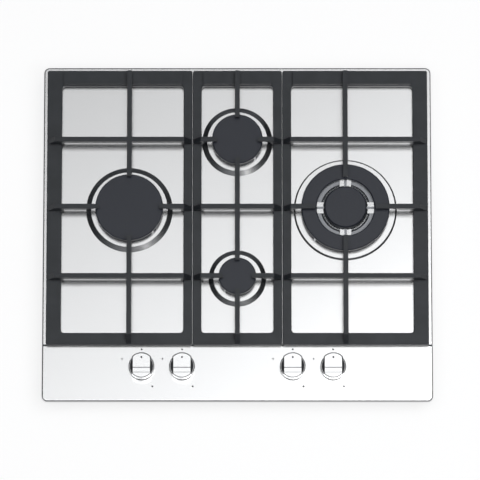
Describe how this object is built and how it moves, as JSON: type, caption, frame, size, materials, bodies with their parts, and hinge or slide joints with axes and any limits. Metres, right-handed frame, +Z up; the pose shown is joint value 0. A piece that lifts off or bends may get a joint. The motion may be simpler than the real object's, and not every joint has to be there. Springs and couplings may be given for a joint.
{
  "type": "gas cooktop",
  "caption": "Built-in gas cooktop: brushed steel panel, cast pan supports, round burners with enamelled caps, and a front row of push-and-turn knobs.",
  "frame": {"origin": "centre of the underside of the burner tray, the lowest face", "axes": "+X to the right, +Y to the rear, +Z up; the knobs are at -Y"},
  "size_m": [0.58, 0.51, 0.084],
  "materials": {
    "stainless": "brushed",
    "galvanised": "satin",
    "foam": "matte",
    "iron_enamel": "satin",
    "cap_enamel": "satin",
    "cast_aluminium": "satin",
    "tube_aluminium": "satin",
    "brass": "satin",
    "copper": "satin",
    "zinc_steel": "satin",
    "knob_metal": "polished",
    "silicone": "matte",
    "lead_sleeve": "matte",
    "moulded": "matte",
    "porcelain": "glazed"
  },
  "bodies": {
    "body": {"top_panel": "stainless", "burner_tray": "galvanised", "rim_seal": "foam", "tray_nuts": "zinc_steel", "clamp_brackets": "zinc_steel", "pan_head_screws": "zinc_steel", "manifold": "galvanised", "manifold_straps": "zinc_steel", "inlet_elbow": "brass", "valve_covers": "zinc_steel", "valve_switches": "moulded", "switch_leads": "lead_sleeve", "knob_seals": "silicone", "injectors": "brass", "igniters": "porcelain", "igniter_pins": "zinc_steel", "ignition_leads": "lead_sleeve", "thermocouples": "copper", "spark_generator": "moulded", "terminal_block": "moulded", "valve_left": "brass", "cup_left": "cast_aluminium", "gas_tube_left": "tube_aluminium", "valve_rear": "brass", "cup_rear": "cast_aluminium", "gas_tube_rear": "tube_aluminium", "valve_front": "brass", "cup_front": "cast_aluminium", "gas_tube_front": "tube_aluminium", "valve_right": "brass", "cup_right": "cast_aluminium", "gas_tube_right": "tube_aluminium"},
    "pan_support_left": {"pan_support_left": "iron_enamel", "support_pads_left": "silicone"},
    "pan_support_middle": {"pan_support_middle": "iron_enamel", "support_pads_middle": "silicone"},
    "pan_support_right": {"pan_support_right": "iron_enamel", "support_pads_right": "silicone"},
    "crown_left": {"crown_left": "cast_aluminium"},
    "push_left": {"thrust_washer_left": "zinc_steel"},
    "knob_left": {"knob_left": "knob_metal", "stem_left": "zinc_steel"},
    "crown_rear": {"crown_rear": "cast_aluminium"},
    "push_rear": {"thrust_washer_rear": "zinc_steel"},
    "knob_rear": {"knob_rear": "knob_metal", "stem_rear": "zinc_steel"},
    "crown_front": {"crown_front": "cast_aluminium"},
    "push_front": {"thrust_washer_front": "zinc_steel"},
    "knob_front": {"knob_front": "knob_metal", "stem_front": "zinc_steel"},
    "crown_right": {"crown_right": "cast_aluminium"},
    "push_right": {"thrust_washer_right": "zinc_steel"},
    "knob_right": {"knob_right": "knob_metal", "stem_right": "zinc_steel"},
    "cap_left": {"cap_left": "cap_enamel"},
    "cap_rear": {"cap_rear": "cap_enamel"},
    "cap_front": {"cap_front": "cap_enamel"},
    "cap_right_ring": {"cap_right_ring": "cap_enamel"},
    "cap_right_middle": {"cap_right_middle": "cap_enamel"}
  },
  "joints": [
    {"name": "pan_support_left_lift", "type": "slide", "parent": "body", "child": "pan_support_left", "axis": [0, 0, 1], "range_m": [0, 0.06]},
    {"name": "pan_support_middle_lift", "type": "slide", "parent": "body", "child": "pan_support_middle", "axis": [0, 0, 1], "range_m": [0, 0.06]},
    {"name": "pan_support_right_lift", "type": "slide", "parent": "body", "child": "pan_support_right", "axis": [0, 0, 1], "range_m": [0, 0.06]},
    {"name": "crown_left_lift", "type": "slide", "parent": "body", "child": "crown_left", "axis": [0, 0, 1], "range_m": [0, 0.0055]},
    {"name": "crown_rear_lift", "type": "slide", "parent": "body", "child": "crown_rear", "axis": [0, 0, 1], "range_m": [0, 0.0055]},
    {"name": "crown_front_lift", "type": "slide", "parent": "body", "child": "crown_front", "axis": [0, 0, 1], "range_m": [0, 0.0055]},
    {"name": "crown_right_lift", "type": "slide", "parent": "body", "child": "crown_right", "axis": [0, 0, 1], "range_m": [0, 0.0055]},
    {"name": "cap_left_lift", "type": "slide", "parent": "crown_left", "child": "cap_left", "axis": [0, 0, 1], "range_m": [0, 0.0055]},
    {"name": "cap_rear_lift", "type": "slide", "parent": "crown_rear", "child": "cap_rear", "axis": [0, 0, 1], "range_m": [0, 0.0055]},
    {"name": "cap_front_lift", "type": "slide", "parent": "crown_front", "child": "cap_front", "axis": [0, 0, 1], "range_m": [0, 0.0055]},
    {"name": "cap_right_ring_lift", "type": "slide", "parent": "crown_right", "child": "cap_right_ring", "axis": [0, 0, 1], "range_m": [0, 0.0055]},
    {"name": "cap_right_middle_lift", "type": "slide", "parent": "crown_right", "child": "cap_right_middle", "axis": [0, 0, 1], "range_m": [0, 0.0055]},
    {"name": "knob_left_push", "type": "slide", "parent": "body", "child": "push_left", "axis": [0, 0, -1], "range_m": [0, 0.0035], "stiffness_N_per_m": 1200, "springref_m": -0.0025},
    {"name": "knob_left_turn", "type": "hinge", "parent": "push_left", "child": "knob_left", "pos_m": [-0.142, -0.204, 0.06], "axis": [0, 0, 1], "range_deg": [0, 200]},
    {"name": "knob_rear_push", "type": "slide", "parent": "body", "child": "push_rear", "axis": [0, 0, -1], "range_m": [0, 0.0035], "stiffness_N_per_m": 1200, "springref_m": -0.0025},
    {"name": "knob_rear_turn", "type": "hinge", "parent": "push_rear", "child": "knob_rear", "pos_m": [0.082, -0.204, 0.06], "axis": [0, 0, 1], "range_deg": [0, 200]},
    {"name": "knob_front_push", "type": "slide", "parent": "body", "child": "push_front", "axis": [0, 0, -1], "range_m": [0, 0.0035], "stiffness_N_per_m": 1200, "springref_m": -0.0025},
    {"name": "knob_front_turn", "type": "hinge", "parent": "push_front", "child": "knob_front", "pos_m": [-0.082, -0.204, 0.06], "axis": [0, 0, 1], "range_deg": [0, 200]},
    {"name": "knob_right_push", "type": "slide", "parent": "body", "child": "push_right", "axis": [0, 0, -1], "range_m": [0, 0.0035], "stiffness_N_per_m": 1200, "springref_m": -0.0025},
    {"name": "knob_right_turn", "type": "hinge", "parent": "push_right", "child": "knob_right", "pos_m": [0.142, -0.204, 0.06], "axis": [0, 0, 1], "range_deg": [0, 200]}
  ]
}
